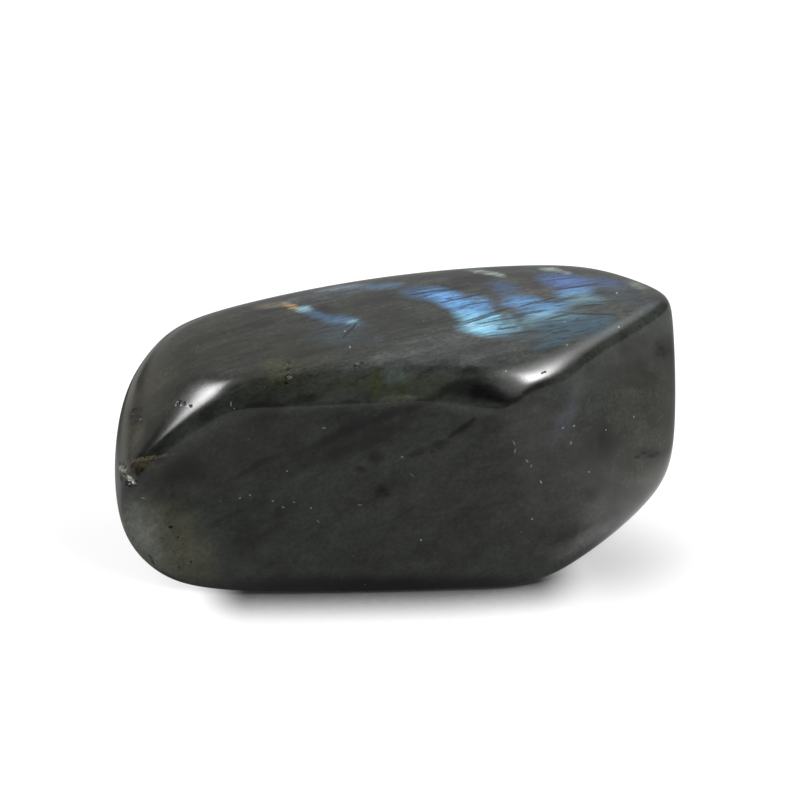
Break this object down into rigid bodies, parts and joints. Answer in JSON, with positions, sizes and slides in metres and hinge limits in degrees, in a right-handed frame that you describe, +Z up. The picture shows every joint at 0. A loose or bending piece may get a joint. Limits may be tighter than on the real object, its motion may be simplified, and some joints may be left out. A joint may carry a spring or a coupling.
{
  "type": "polished labradorite freeform",
  "caption": "Long free-form display stone of dark grey-green feldspar, polished all over, with a flat top that flashes blue, a bevelled front edge and a flat base to stand on.",
  "frame": {"origin": "centre of the bounding box's floor, on the ground flat underside", "axes": "+Z up from the base, +X along the stone towards its pointed right end, -Y towards its tall front face"},
  "size_m": [0.1118, 0.0522, 0.0482],
  "materials": {
    "labradorite": "polished"
  },
  "bodies": {
    "root": {"labradorite_stone": "labradorite"}
  },
  "joints": []
}
